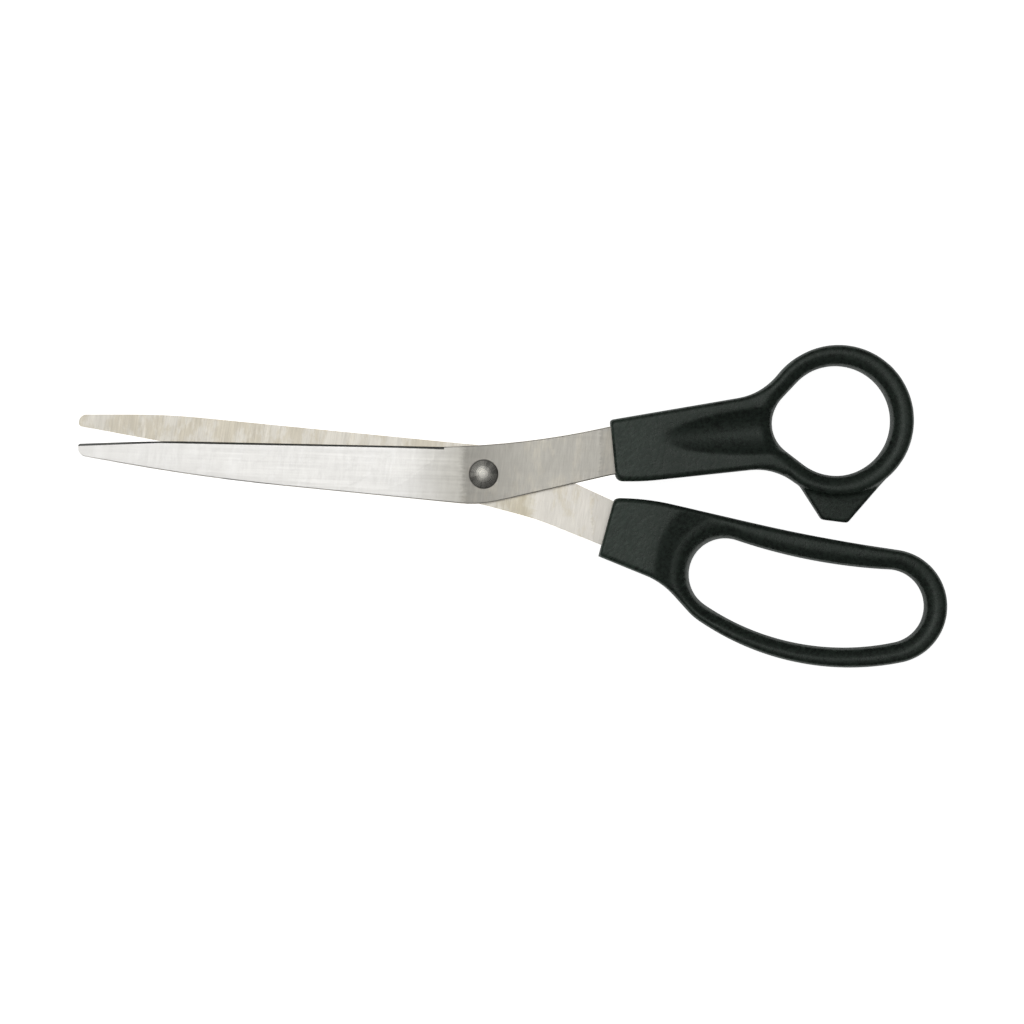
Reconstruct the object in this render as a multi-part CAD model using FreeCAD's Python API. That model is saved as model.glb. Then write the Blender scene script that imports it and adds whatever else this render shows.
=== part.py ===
import FreeCAD, Part
import math
import os
from FreeCAD import Vector

# Fabric shears, 216 mm long: two stamped stainless blades turn on one rivet, and a plastic handle
# is moulded onto the tang of each.
# Everything is drawn about the pivot, with X from the tips to the handles, Y from the finger
# handle to the thumb handle, and Z up out of the front blade. At the end it is all moved, so that
# the origin is the middle of the underside. The blades are drawn slightly open.
# Lengths are in millimetres and angles in degrees.

# --- Blades ---------------------------------------------------------------------------------
BLADE_LENGTH = 100.5        # pivot to the tip of each blade, along X
BLADE_THICKNESS = 1.8
BLADE_GAP = 0.1             # air between the two ground inner faces
BLADE_EDGE_ROUND = 0.3      # rounding of the stamped outer edges
TIP_LAND = 2.9              # height of the front blade's blunt tip
BACK_TIP_HEIGHT = 2.85      # height of the back blade's round tip
BEVEL_WIDTH = 0.42          # width of the cutting bevel, seen from above
BEVEL_RISE = 1.15           # height of the cutting bevel
GRIND_ANGLE = 2.6           # slope of the ground outer face, from the back to the cutting edge
GRIND_WHEEL_RADIUS = 250.0  # the ground face runs out on this radius, beside the rivet
GRIND_RUNOUT = 8.0          # pivot to the end of the ground face
RICASSO = 9.8               # pivot to the end of the cutting bevel
PIVOT_EDGE_HEIGHT = 6.75    # pivot centre line to the cutting edge at the ricasso
PIVOT_BACK_HEIGHT = 7.75    # pivot centre line to the back beside the rivet

# --- Tangs, inside the handles --------------------------------------------------------------
FRONT_TANG_REACH = 59.0     # pivot to the end of the front tang, along X
BACK_TANG_REACH = 44.5
FRONT_TANG_TAPER = 1.2      # how far each side of the front tang draws in before its end
LOCK_HOLE_RADIUS = 2.0      # holes that the plastic fills
LOCK_HOLE_SPACING = 10.5

# --- Rivet and washer -----------------------------------------------------------------------
RIVET_SHANK_RADIUS = 2.0
RIVET_RUNNING_CLEARANCE = 0.05
RIVET_HEAD_RADIUS = 3.65
RIVET_HEAD_RIM = 0.4        # straight rim under the dome
RIVET_HEAD_DOME = 1.15
RIVET_END_PLAY = 0.05       # air between the head and the front blade
RIVET_TAIL_RADIUS = 2.9
RIVET_TAIL_HEIGHT = 0.9
WASHER_RADIUS = 4.0
WASHER_THICKNESS = 0.6

# --- Handles --------------------------------------------------------------------------------
HANDLE_THICKNESS = 9.6
ROUND_SHARE = 0.36          # each rounding of the long edges, as a share of the thinner wall
FRONT_END_ROUND = 0.4       # rounding of the edge where each handle meets its blade
HANDLE_START = 31.35        # pivot to the front end of each handle, along X

RING_X = 87.85              # thumb ring centre
RING_Y = 13.3
RING_RADIUS = 18.65
RING_WALL = 5.0
THUMB_NOSE_RADIUS = 9.0     # the narrow end of the thumb hole, towards the blades
THUMB_NOSE_OFFSET = 6.9     # between the centres of the two ends of the thumb hole
THUMB_GRIP_SLOPE = 9.7      # slope of the thumb grip's upper side
THUMB_UNDER_SLOPE = 6.1     # slope of its lower side
THUMB_GRIP_HEIGHT = 15.2    # at the front end
UPPER_NECK_RADIUS = 17.0
LOWER_NECK_RADIUS = 15.0
STOP_LENGTH = 25.4          # ring centre to the tip of the stop
STOP_WIDTH = 6.35           # length of its end face
STOP_THICKNESS = 5.0
STOP_FLANK_SLOPE = -57.5
STOP_END_SLOPE = -7.3
DISH_DEPTH = 1.5            # scoop in each face of the thumb grip
DISH_HALF_WIDTH = 5.7
DISH_LENGTH = 27.0

FINGER_NEAR_X = 59.9        # near end of the finger hole, a disc's centre
FINGER_NEAR_Y = -24.95
FINGER_FAR_X = 100.2        # far end of the finger hole, a disc's centre
FINGER_FAR_Y = -32.8
FINGER_NEAR_RADIUS = 9.0
FINGER_FAR_RADIUS = 9.15
FINGER_UPPER_CURVE = 139.0  # the upper side bulges into the hole on this radius
FINGER_LOWER_CURVE = 61.3
FINGER_WALL = 5.0           # lower side and ends of the loop
FINGER_BAR_WALL = 5.7       # upper side of the loop
FINGER_GRIP_HEIGHT = 15.0   # at the front end
FINGER_UNDER_SLOPE = -22.2
FINGER_WAIST_SLOPE = -48.0
VALLEY_DEPTH = 0.9          # scoop between the flat of the finger grip and its loop
VALLEY_OFFSET = 6.6         # edge of the hole to the bottom of that scoop
VALLEY_TOOL_RADIUS = 6.0

# --- Worked out from the sizes above --------------------------------------------------------
HALF_HANDLE = HANDLE_THICKNESS / 2
EDGE_ROUND = ROUND_SHARE * min(RING_WALL, FINGER_WALL)
HALF_GAP = BLADE_GAP / 2
BLADE_OUTER = HALF_GAP + BLADE_THICKNESS      # outer face of a blade, from the middle plane
OVERSIZE = 200.0                              # cutting tools reach well past the part


def unit(degrees):
    """A direction in the XY plane."""
    return Vector(math.cos(math.radians(degrees)), math.sin(math.radians(degrees)), 0)


def heading(vector):
    """The angle of a vector in the XY plane, in degrees."""
    return math.degrees(math.atan2(vector.y, vector.x))


def meet(point_a, slope_a, point_b, slope_b):
    """Where two lines cross, each given by a point and a slope in degrees."""
    a, b, apart = unit(slope_a), unit(slope_b), point_b - point_a
    along = (apart.x * b.y - apart.y * b.x) / (a.x * b.y - a.y * b.x)
    return point_a + a * along


class Corner:
    """One turn of an outline that runs anticlockwise.

    wrap is the radius of a disc that the outline goes round, positive where the material is
    inside the disc and negative where the disc bites into the material. blend instead rounds a
    point that the outline passes.
    """

    def __init__(self, at, wrap=0.0, blend=0.0):
        self.at = at
        self.wrap = wrap
        self.blend = blend


def disc_touching_discs(first, second, radius, left, enclosing):
    """Centre of a disc that touches two Corners' discs, on the left or right of the way from one
    to the other, and has them inside it if enclosing."""
    sign = -1 if enclosing else 1
    reach_1, reach_2 = radius + sign * first.wrap, radius + sign * second.wrap
    way = second.at - first.at
    along = (reach_1 ** 2 - reach_2 ** 2 + way.Length ** 2) / (2 * way.Length)
    aside = math.sqrt(reach_1 ** 2 - along ** 2)
    ahead = unit(heading(way))
    sideways = Vector(-ahead.y, ahead.x, 0) * (1 if left else -1)
    return first.at + ahead * along + sideways * aside


def disc_in_neck(line_point, slope, ring, radius, above):
    """Centre of a disc that rests on a line and against a ring, before the ring."""
    along = unit(slope)
    away = Vector(-along.y, along.x, 0) * (1 if above else -1)
    start = line_point + away * radius
    to_ring = ring.at - start
    ahead = to_ring.dot(along)
    aside = to_ring.dot(away)
    return start + along * (ahead - math.sqrt((ring.wrap + radius) ** 2 - aside ** 2))


def outline(corners):
    """A closed wire of straight runs and tangent arcs through Corners in anticlockwise order."""
    slopes = []
    for corner, following in zip(corners, corners[1:] + corners[:1]):
        way = following.at - corner.at
        lean = max(-1.0, min(1.0, (corner.wrap - following.wrap) / way.Length))
        slopes.append(heading(way) + math.degrees(math.asin(lean)))
    arcs = []
    for i, corner in enumerate(corners):
        turn = (slopes[i] - slopes[i - 1] + 180) % 360 - 180
        centre, radius = corner.at, corner.wrap
        if corner.wrap:
            turn = turn % 360 if corner.wrap > 0 else -((-turn) % 360)
        elif corner.blend:
            radius = math.copysign(corner.blend, turn)
            trim = corner.blend * math.tan(math.radians(abs(turn) / 2))
            centre = corner.at - unit(slopes[i - 1]) * trim + unit(slopes[i - 1] + 90) * radius
        arcs.append([centre + unit(slopes[i - 1] + share * turn - 90) * radius
                     for share in (0, 0.5, 1)])
    for i, arc in enumerate(arcs):
        if (arc[0] - arcs[i - 1][2]).Length < 1e-4:
            arc[0] = arcs[i - 1][2]
    edges = []
    for i, arc in enumerate(arcs):
        start = arcs[i - 1][2]
        if arc[0] != start:
            edges.append(Part.LineSegment(start, arc[0]).toShape())
        if (arc[2] - arc[0]).Length > 1e-4:
            edges.append(Part.Arc(*arc).toShape())
    return Part.Wire(edges)


def prism(wire, bottom, top):
    """A flat wire's face raised from height bottom to height top."""
    face = Part.Face(wire)
    face.translate(Vector(0, 0, bottom))
    return face.extrude(Vector(0, 0, top - bottom))


def mirrored_in_z(shape):
    """The same shape on the other side of the middle plane."""
    return shape.mirror(Vector(0, 0, 0), Vector(0, 0, 1))


def rounded(shape, radius, chosen):
    """The shape with the edges rounded whose middle point is chosen."""
    edges = [e for e in shape.Edges if chosen(e, e.valueAt((e.FirstParameter + e.LastParameter) / 2))]
    return shape.makeFillet(radius, edges)


def near_wire(wire, point):
    """Whether a point lies over a flat wire."""
    return wire.distToShape(Part.Vertex(point.x, point.y, 0))[0] < 1e-4


# --- Where the handles and tangs lie ----------------------------------------------------------
THUMB_FRONT_TOP = Vector(HANDLE_START, 13.4, 0)
THUMB_FRONT_BOTTOM = THUMB_FRONT_TOP + Vector(1.5, -THUMB_GRIP_HEIGHT, 0)
THUMB_UNDERSIDE = Vector(HANDLE_START + 8.7, THUMB_FRONT_BOTTOM.y, 0)
FINGER_FRONT_TOP = Vector(HANDLE_START + 1.1, -5.95, 0)
FINGER_GRIP_TOP = FINGER_FRONT_TOP + Vector(7.6, 0, 0)
FINGER_FRONT_BOTTOM = FINGER_FRONT_TOP + unit(-105.3) * FINGER_GRIP_HEIGHT
FRONT_TANG_ENTRY = 11.8     # the front tang's upper side at HANDLE_START
FRONT_TANG_HEIGHT = 12.1
BACK_TANG_ENTRY = -6.25     # the back tang's upper side at HANDLE_START
BACK_TANG_HEIGHT = 11.6

# The blades' corners. The edge is the cutting side, the heel is beside the rivet on the back.
FRONT_TIP = Vector(-BLADE_LENGTH, 7.55, 0)
FRONT_BELLY = Vector(-0.8 * BLADE_LENGTH, PIVOT_EDGE_HEIGHT + 1.5, 0)
FRONT_RICASSO = Vector(-RICASSO, PIVOT_EDGE_HEIGHT, 0)
FRONT_KNEE = Vector(-0.7 * BLADE_LENGTH, -0.85, 0)
FRONT_HEEL = Vector(-1.0, -PIVOT_BACK_HEIGHT, 0)
BACK_TIP = Vector(-BLADE_LENGTH, 14.8, 0)
BACK_EDGE_TIP = BACK_TIP - Vector(0, BACK_TIP_HEIGHT, 0)
BACK_KNEE = Vector(-0.78 * BLADE_LENGTH, BACK_TIP.y, 0)
BACK_HEEL = Vector(3.1, PIVOT_BACK_HEIGHT - 0.95, 0)
BACK_RICASSO = unit(180 - 10.6) * RICASSO - unit(90 - 10.6) * PIVOT_EDGE_HEIGHT

RING = Corner(Vector(RING_X, RING_Y, 0), wrap=RING_RADIUS)
THUMB_HOLE = Corner(RING.at + Vector(-0.45, -0.1, 0), wrap=RING_RADIUS - RING_WALL)


def front_blade_outline():
    """The front blade and its tang. Its cutting edge is its upper side."""
    tang_upper = Vector(HANDLE_START, FRONT_TANG_ENTRY, 0)
    tang_lower = tang_upper - Vector(0, FRONT_TANG_HEIGHT, 0)
    tang_end_upper = Vector(FRONT_TANG_REACH, tang_upper.y + 4.6 - FRONT_TANG_TAPER, 0)
    tang_end_lower = Vector(FRONT_TANG_REACH, tang_lower.y + 3.0 + FRONT_TANG_TAPER, 0)
    return outline([
        Corner(FRONT_TIP - Vector(0, TIP_LAND, 0), blend=0.76 * TIP_LAND),
        Corner(FRONT_KNEE, blend=500),
        Corner(FRONT_HEEL, blend=30),
        Corner(tang_lower, blend=20),
        Corner(tang_end_lower, blend=2.5),
        Corner(tang_end_upper, blend=2.5),
        Corner(tang_upper, blend=20),
        Corner(meet(FRONT_RICASSO, 2.5, tang_upper, 12.3), blend=200),
        Corner(FRONT_RICASSO),
        Corner(FRONT_BELLY, blend=300),
        Corner(FRONT_TIP, blend=0.14 * TIP_LAND),
    ])


def back_blade_outline():
    """The back blade and its tang. Its cutting edge is its lower side."""
    tang_upper = Vector(HANDLE_START, BACK_TANG_ENTRY, 0)
    tang_lower = tang_upper - Vector(1.6, BACK_TANG_HEIGHT, 0)
    tang_end_upper = Vector(BACK_TANG_REACH + 1.5, tang_upper.y - 7.7, 0)
    tang_end_lower = Vector(BACK_TANG_REACH, tang_lower.y - 3.8, 0)
    return outline([
        Corner(BACK_EDGE_TIP, blend=0.32 * BACK_TIP_HEIGHT),
        Corner(BACK_RICASSO),
        Corner(meet(BACK_RICASSO, -14.7, tang_lower, -21.8), blend=80),
        Corner(tang_lower, blend=20),
        Corner(tang_end_lower, blend=2.0),
        Corner(tang_end_upper, blend=2.0),
        Corner(tang_upper, blend=20),
        Corner(BACK_HEEL, blend=30),
        Corner(BACK_KNEE, blend=160),
        Corner(BACK_TIP, blend=0.68 * BACK_TIP_HEIGHT),
    ])


def bevel_tool(start, end):
    """Cuts the steep cutting bevel along an edge that runs from start to end, with the steel on
    its right hand, on a blade that lies from the middle plane up."""
    along = unit(heading(end - start))
    outward = Vector(-along.y, along.x, 0)
    run = (end - start).Length
    foot = start + Vector(0, 0, HALF_GAP)
    slant = math.degrees(math.atan2(BEVEL_RISE, BEVEL_WIDTH))
    rise = Vector(0, 0, 1) * math.sin(math.radians(slant)) - outward * math.cos(math.radians(slant))
    corners = [foot, foot + rise * 6, foot + rise * 6 + outward * 12, foot + outward * 12]
    face = Part.Face(Part.makePolygon(corners + corners[:1]))
    return face.extrude(along * run)


def grind_tool(heel, slope, side):
    """Grinds the outer face of a blade that lies from the middle plane up, from its back down to
    its cutting edge. heel is a point on its back, slope the way the back runs, and side is 1
    where the cutting edge is on the back's left hand and -1 on its right."""
    face_height = BLADE_OUTER
    slant = math.radians(GRIND_ANGLE)
    deepest = 16 * math.tan(slant)
    rise = math.sqrt(2 * GRIND_WHEEL_RADIUS * deepest)
    flat_end = -GRIND_RUNOUT - rise
    top = Vector(-GRIND_RUNOUT, 0, face_height + deepest)
    wheel = Vector(flat_end, 0, face_height + GRIND_WHEEL_RADIUS)
    swing = math.asin(rise / GRIND_WHEEL_RADIUS)
    arc_end = wheel + Vector(math.sin(swing), 0, -math.cos(swing)) * GRIND_WHEEL_RADIUS
    arc_middle = wheel + Vector(math.sin(swing / 2), 0, -math.cos(swing / 2)) * GRIND_WHEEL_RADIUS
    start, corner = Vector(-OVERSIZE, 0, face_height), Vector(flat_end, 0, face_height)
    roof_near, roof_far = Vector(arc_end.x, 0, top.z + 5), Vector(-OVERSIZE, 0, top.z + 5)
    profile = Part.Wire([
        Part.LineSegment(start, corner).toShape(),
        Part.Arc(corner, arc_middle, arc_end).toShape(),
        Part.LineSegment(arc_end, roof_near).toShape(),
        Part.LineSegment(roof_near, roof_far).toShape(),
        Part.LineSegment(roof_far, start).toShape(),
    ])
    tool = Part.Face(profile).extrude(Vector(0, side * OVERSIZE, 0))
    tool.rotate(Vector(0, 0, face_height), Vector(1, 0, 0), -side * GRIND_ANGLE)
    tool.rotate(Vector(0, 0, 0), Vector(0, 0, 1), slope)
    tool.translate(heel + unit(slope + 90) * side)
    return tool


def stamped_blade(wire, lock_holes, pivot_radius):
    """A blade's blank, from the middle plane up, with its outer edges rounded and its holes."""
    blank = prism(wire, HALF_GAP, BLADE_OUTER)
    blank = rounded(blank, BLADE_EDGE_ROUND,
                    lambda edge, middle: abs(middle.z - BLADE_OUTER) < 1e-6
                    and edge.BoundBox.ZLength < 1e-6)
    holes = [Part.makeCylinder(pivot_radius, OVERSIZE, Vector(0, 0, -OVERSIZE / 2))]
    holes += [Part.makeCylinder(LOCK_HOLE_RADIUS, OVERSIZE, at - Vector(0, 0, OVERSIZE / 2))
              for at in lock_holes]
    return blank.cut(holes)


def front_lock_holes():
    """Centres of the holes in the front tang, along its middle."""
    first = Vector(HANDLE_START + 9.0, FRONT_TANG_ENTRY - FRONT_TANG_HEIGHT / 2 + 1.2, 0)
    return [first, first + unit(7.5) * LOCK_HOLE_SPACING]


def back_lock_hole():
    """Centre of the hole in the back tang."""
    return Vector(HANDLE_START + 6.2, BACK_TANG_ENTRY - BACK_TANG_HEIGHT / 2 - 3.0, 0)


def front_blade():
    """The blade above the middle plane, which turns on the rivet."""
    blade = stamped_blade(front_blade_outline(), front_lock_holes(),
                          RIVET_SHANK_RADIUS + RIVET_RUNNING_CLEARANCE)
    blade = blade.cut(grind_tool(FRONT_HEEL, heading(FRONT_HEEL - FRONT_KNEE) - 0.5, 1))
    along_edge = unit(heading(FRONT_RICASSO - FRONT_BELLY))
    blade = blade.cut(bevel_tool(FRONT_BELLY - along_edge * 0.5, FRONT_RICASSO))
    along_tip = unit(heading(FRONT_BELLY - FRONT_TIP))
    return blade.cut(bevel_tool(FRONT_TIP - along_tip * 4, FRONT_BELLY + along_tip * 0.5))


def back_blade():
    """The blade below the middle plane, which holds the rivet. It is shaped above the plane, the
    other way up, and then turned over."""
    blade = stamped_blade(back_blade_outline(), [back_lock_hole()], RIVET_SHANK_RADIUS)
    blade = blade.cut(grind_tool(BACK_HEEL, heading(BACK_HEEL - BACK_KNEE) + 1.0, -1))
    along_edge = unit(heading(BACK_EDGE_TIP - BACK_RICASSO))
    blade = blade.cut(bevel_tool(BACK_RICASSO, BACK_EDGE_TIP + along_edge * 4))
    return mirrored_in_z(blade)


def thumb_grip_outline():
    """The grip and ring of the thumb handle, without its stop."""
    under = meet(THUMB_UNDERSIDE, THUMB_UNDER_SLOPE, Vector(RING_X, 0, 0), 90)
    lower = disc_in_neck(under, THUMB_UNDER_SLOPE, RING, LOWER_NECK_RADIUS, above=False)
    upper = disc_in_neck(THUMB_FRONT_TOP, THUMB_GRIP_SLOPE, RING, UPPER_NECK_RADIUS, above=True)
    return outline([
        Corner(THUMB_FRONT_BOTTOM),
        Corner(THUMB_UNDERSIDE, blend=60),
        Corner(lower, wrap=-LOWER_NECK_RADIUS),
        RING,
        Corner(upper, wrap=-UPPER_NECK_RADIUS),
        Corner(THUMB_FRONT_TOP),
    ])


def thumb_hole_outline():
    """The thumb hole: a large round end and a narrower one towards the blades."""
    nose = THUMB_HOLE.at + Vector(-THUMB_NOSE_OFFSET, -0.55, 0)
    return outline([THUMB_HOLE, Corner(nose, wrap=THUMB_NOSE_RADIUS)])


def stop_outline():
    """The flat stop that hangs from the thumb ring and meets the finger handle."""
    end_right = Vector(RING_X + 2.3, RING_Y - STOP_LENGTH, 0)
    end_left = end_right - unit(STOP_END_SLOPE) * STOP_WIDTH
    in_wall = RING_RADIUS - RING_WALL / 2
    root_left = meet(end_left, STOP_FLANK_SLOPE, RING.at + unit(-134) * in_wall, -134)
    return outline([
        Corner(root_left),
        Corner(end_left, blend=0.8),
        Corner(end_right, blend=0.6),
        Corner(RING.at + unit(-41.5) * (RING_RADIUS - 0.3)),
        Corner(RING.at, wrap=-in_wall),
    ])


def corner_tool(corner, first_slope, second_slope, radius):
    """Rounds an upright corner: the block between two walls and the cylinder that touches both."""
    turn = (second_slope - first_slope + 180) % 360 - 180
    trim = radius * math.tan(math.radians(abs(turn) / 2))
    start, end = corner - unit(first_slope) * trim, corner + unit(second_slope) * trim
    centre = start + unit(first_slope + 90) * radius
    past = corner + (corner - centre)
    block = prism(Part.makePolygon([start, past, end, centre, start]), -HANDLE_THICKNESS, HANDLE_THICKNESS)
    return block.cut(Part.makeCylinder(radius, OVERSIZE, centre - Vector(0, 0, OVERSIZE / 2)))


def moulded_grip(wire, front_top, front_bottom):
    """A grip with rounded long edges and crisp edges on its front end."""
    body = prism(wire, -HALF_HANDLE, HALF_HANDLE)
    front_middle = (front_top + front_bottom) * 0.5

    def is_long_edge(edge, middle):
        on_face = abs(abs(middle.z) - HALF_HANDLE) < 1e-6 and edge.BoundBox.ZLength < 1e-6
        return on_face and (Vector(middle.x, middle.y, 0) - front_middle).Length > 1e-3

    body = rounded(body, EDGE_ROUND, is_long_edge)
    front = Part.makeLine(front_top, front_bottom)
    return rounded(body, FRONT_END_ROUND, lambda edge, middle: near_wire(front, middle)
                   and all(near_wire(front, vertex.Point) for vertex in edge.Vertexes))


def with_hole(body, wire):
    """The body with a hole through it and the hole's edges rounded."""
    body = body.cut(prism(wire, -OVERSIZE, OVERSIZE))
    return rounded(body, EDGE_ROUND, lambda edge, middle: abs(abs(middle.z) - HALF_HANDLE) < 1e-6
                   and edge.BoundBox.ZLength < 1e-6 and near_wire(wire, middle))


def dish_tool():
    """Cuts the scoop in the top face of the thumb grip: a barrel lying over it, deepest at the
    thumb hole."""
    sum_of_heights = DISH_HALF_WIDTH ** 2 / DISH_DEPTH
    belly = (sum_of_heights + DISH_DEPTH) / 2
    axis_height = belly - DISH_DEPTH
    long_radius = (DISH_LENGTH ** 2 + DISH_DEPTH ** 2) / (2 * DISH_DEPTH)
    deepest_x = THUMB_HOLE.at.x - THUMB_NOSE_OFFSET - THUMB_NOSE_RADIUS + 2.0
    reach = DISH_LENGTH + 6.0
    end_radius = belly - long_radius + math.sqrt(long_radius ** 2 - reach ** 2)
    mid_radius = belly - long_radius + math.sqrt(long_radius ** 2 - (reach / 2) ** 2)
    stop_x = 8.0
    profile = Part.Wire([
        Part.Arc(Vector(-reach, 0, -end_radius), Vector(-reach / 2, 0, -mid_radius),
                 Vector(0, 0, -belly)).toShape(),
        Part.LineSegment(Vector(0, 0, -belly), Vector(stop_x, 0, -belly)).toShape(),
        Part.LineSegment(Vector(stop_x, 0, -belly), Vector(stop_x, 0, 0)).toShape(),
        Part.LineSegment(Vector(stop_x, 0, 0), Vector(-reach, 0, 0)).toShape(),
        Part.LineSegment(Vector(-reach, 0, 0), Vector(-reach, 0, -end_radius)).toShape(),
    ])
    barrel = Part.Face(profile).revolve(Vector(0, 0, 0), Vector(1, 0, 0), 360)
    barrel.rotate(Vector(0, 0, 0), Vector(0, 0, 1), 8.0)
    barrel.translate(Vector(deepest_x, RING_Y - 1.8, HALF_HANDLE + axis_height))
    return barrel


def thumb_handle(tang):
    """The handle with the ring, moulded round the front blade's tang."""
    body = moulded_grip(thumb_grip_outline(), THUMB_FRONT_TOP, THUMB_FRONT_BOTTOM)
    body = with_hole(body, thumb_hole_outline())
    body = body.fuse(prism(stop_outline(), -STOP_THICKNESS / 2, STOP_THICKNESS / 2))
    body = body.cut(corner_tool(THUMB_FRONT_BOTTOM, heading(THUMB_FRONT_BOTTOM - THUMB_FRONT_TOP),
                                heading(THUMB_UNDERSIDE - THUMB_FRONT_BOTTOM), 1.8))
    dish = dish_tool()
    return body.cut([dish, mirrored_in_z(dish), tang])


def finger_discs():
    """The near and far ends of the finger hole."""
    near = Corner(Vector(FINGER_NEAR_X, FINGER_NEAR_Y, 0), wrap=FINGER_NEAR_RADIUS)
    far = Corner(Vector(FINGER_FAR_X, FINGER_FAR_Y, 0), wrap=FINGER_FAR_RADIUS)
    return near, far


def between_discs(near, far, upper_radius, lower_radius):
    """The discs above two ends, touching both from outside, and below them, holding both."""
    upper = disc_touching_discs(near, far, upper_radius, left=True, enclosing=False)
    lower = disc_touching_discs(near, far, lower_radius, left=True, enclosing=True)
    return Corner(upper, wrap=-upper_radius), Corner(lower, wrap=lower_radius)


def finger_hole_outline():
    """The finger hole: four arcs that touch, the upper one bulging into the hole."""
    near, far = finger_discs()
    upper, lower = between_discs(near, far, FINGER_UPPER_CURVE, FINGER_LOWER_CURVE)
    return outline([near, lower, far, upper])


def finger_grip_outline():
    """The grip and loop of the finger handle."""
    near, far = finger_discs()
    upper, _ = between_discs(near, far, FINGER_UPPER_CURVE, FINGER_LOWER_CURVE)
    above_hole = unit(heading((near.at + far.at) * 0.5 - upper.at))
    knee = upper.at + above_hole * (FINGER_UPPER_CURVE - FINGER_BAR_WALL)
    near = Corner(near.at + Vector(1.35, 0.15, 0), wrap=near.wrap + FINGER_WALL)
    far = Corner(far.at + Vector(0.5, 0, 0), wrap=far.wrap + FINGER_WALL)
    _, lower = between_discs(near, far, FINGER_UPPER_CURVE, FINGER_LOWER_CURVE + 4.5)
    waist_side = near.at + unit(FINGER_WAIST_SLOPE - 90) * near.wrap
    waist = meet(FINGER_FRONT_BOTTOM, FINGER_UNDER_SLOPE, waist_side, FINGER_WAIST_SLOPE)
    return outline([
        Corner(FINGER_FRONT_BOTTOM),
        Corner(waist, blend=19),
        near,
        lower,
        far,
        Corner(knee, blend=420),
        Corner(FINGER_GRIP_TOP, blend=60),
        Corner(FINGER_FRONT_TOP),
    ])


def valley_tool():
    """Cuts the curved valley in the top face of the finger grip, just outside its loop: a ring,
    tilted so that it fades out above and below the loop."""
    near, _ = finger_discs()
    valley_radius = near.wrap + VALLEY_OFFSET
    tilt = math.degrees(math.asin(VALLEY_DEPTH / valley_radius))
    ring = Part.makeTorus(valley_radius, VALLEY_TOOL_RADIUS)
    ring.rotate(Vector(0, 0, 0), Vector(0, 1, 0), -tilt)
    ring.translate(near.at + Vector(0, 0, HALF_HANDLE + VALLEY_TOOL_RADIUS))
    return ring


def finger_handle(tang):
    """The handle with the long loop, moulded round the back blade's tang."""
    body = moulded_grip(finger_grip_outline(), FINGER_FRONT_TOP, FINGER_FRONT_BOTTOM)
    body = with_hole(body, finger_hole_outline())
    body = body.cut(corner_tool(FINGER_FRONT_TOP, 180, heading(FINGER_FRONT_BOTTOM - FINGER_FRONT_TOP), 1.3))
    valley = valley_tool()
    return body.cut([valley, mirrored_in_z(valley), tang])


def lathe(points):
    """A solid turned about the pivot from a closed profile of (radius, height) points; a pair of
    them is the middle and end of an arc."""
    edges = []
    here = Vector(points[0][0], 0, points[0][1])
    for point in points[1:]:
        if isinstance(point[0], tuple):
            middle, end = (Vector(radius, 0, height) for radius, height in point)
            edges.append(Part.Arc(here, middle, end).toShape())
        else:
            end = Vector(point[0], 0, point[1])
            edges.append(Part.LineSegment(here, end).toShape())
        here = end
    return Part.Face(Part.Wire(edges)).revolve(Vector(0, 0, 0), Vector(0, 0, 1), 360)


def dome_middle(radius, rise):
    """A point halfway along a dome's arc, as (radius, height above its rim)."""
    sphere = (radius ** 2 + rise ** 2) / (2 * rise)
    half = math.asin(radius / sphere) / 2
    return sphere * math.sin(half), sphere * math.cos(half) - (sphere - rise)


def pivot_rivet():
    """The rivet: a domed head on the front blade, a shank, and a tail spread over the washer."""
    seat = BLADE_OUTER + RIVET_END_PLAY
    rim = seat + RIVET_HEAD_RIM
    under_washer = -BLADE_OUTER - WASHER_THICKNESS
    head_middle = dome_middle(RIVET_HEAD_RADIUS, RIVET_HEAD_DOME)
    tail_middle = dome_middle(RIVET_TAIL_RADIUS, RIVET_TAIL_HEIGHT)
    return lathe([
        (0, rim + RIVET_HEAD_DOME),
        (0, under_washer - RIVET_TAIL_HEIGHT),
        ((tail_middle[0], under_washer - tail_middle[1]), (RIVET_TAIL_RADIUS, under_washer)),
        (RIVET_SHANK_RADIUS, under_washer),
        (RIVET_SHANK_RADIUS, seat),
        (RIVET_HEAD_RADIUS, seat),
        (RIVET_HEAD_RADIUS, rim),
        ((head_middle[0], rim + head_middle[1]), (0, rim + RIVET_HEAD_DOME)),
    ])


def rivet_washer():
    """The washer between the back blade and the rivet's spread tail."""
    washer = Part.makeCylinder(WASHER_RADIUS, WASHER_THICKNESS,
                               Vector(0, 0, -BLADE_OUTER - WASHER_THICKNESS))
    washer = rounded(washer, WASHER_THICKNESS / 3, lambda edge, middle:
                     abs(middle.z + BLADE_OUTER + WASHER_THICKNESS) < 1e-6)
    return washer.cut(Part.makeCylinder(RIVET_SHANK_RADIUS, OVERSIZE, Vector(0, 0, -OVERSIZE / 2)))


def main():
    front, back = front_blade(), back_blade()
    parts = {
        "front_blade": front,
        "back_blade": back,
        "thumb_handle": thumb_handle(front),
        "finger_handle": finger_handle(back),
        "pivot_rivet": pivot_rivet(),
        "rivet_washer": rivet_washer(),
    }
    whole = Part.makeCompound(list(parts.values())).optimalBoundingBox(False, False)
    to_origin = Vector(-whole.Center.x, -whole.Center.y, -whole.ZMin)
    os.makedirs("parts", exist_ok=True)
    for name, shape in parts.items():
        shape.translate(to_origin)
        shape.exportStep(f"parts/{name}.step")
        print(name, "solids", len(shape.Solids), "valid", shape.isValid(), "volume", round(shape.Volume, 2))
    print("pivot at", [round(value, 4) for value in to_origin])
    print("overall", [round(value, 3) for value in (whole.XLength, whole.YLength, whole.ZLength)])


main()
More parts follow.
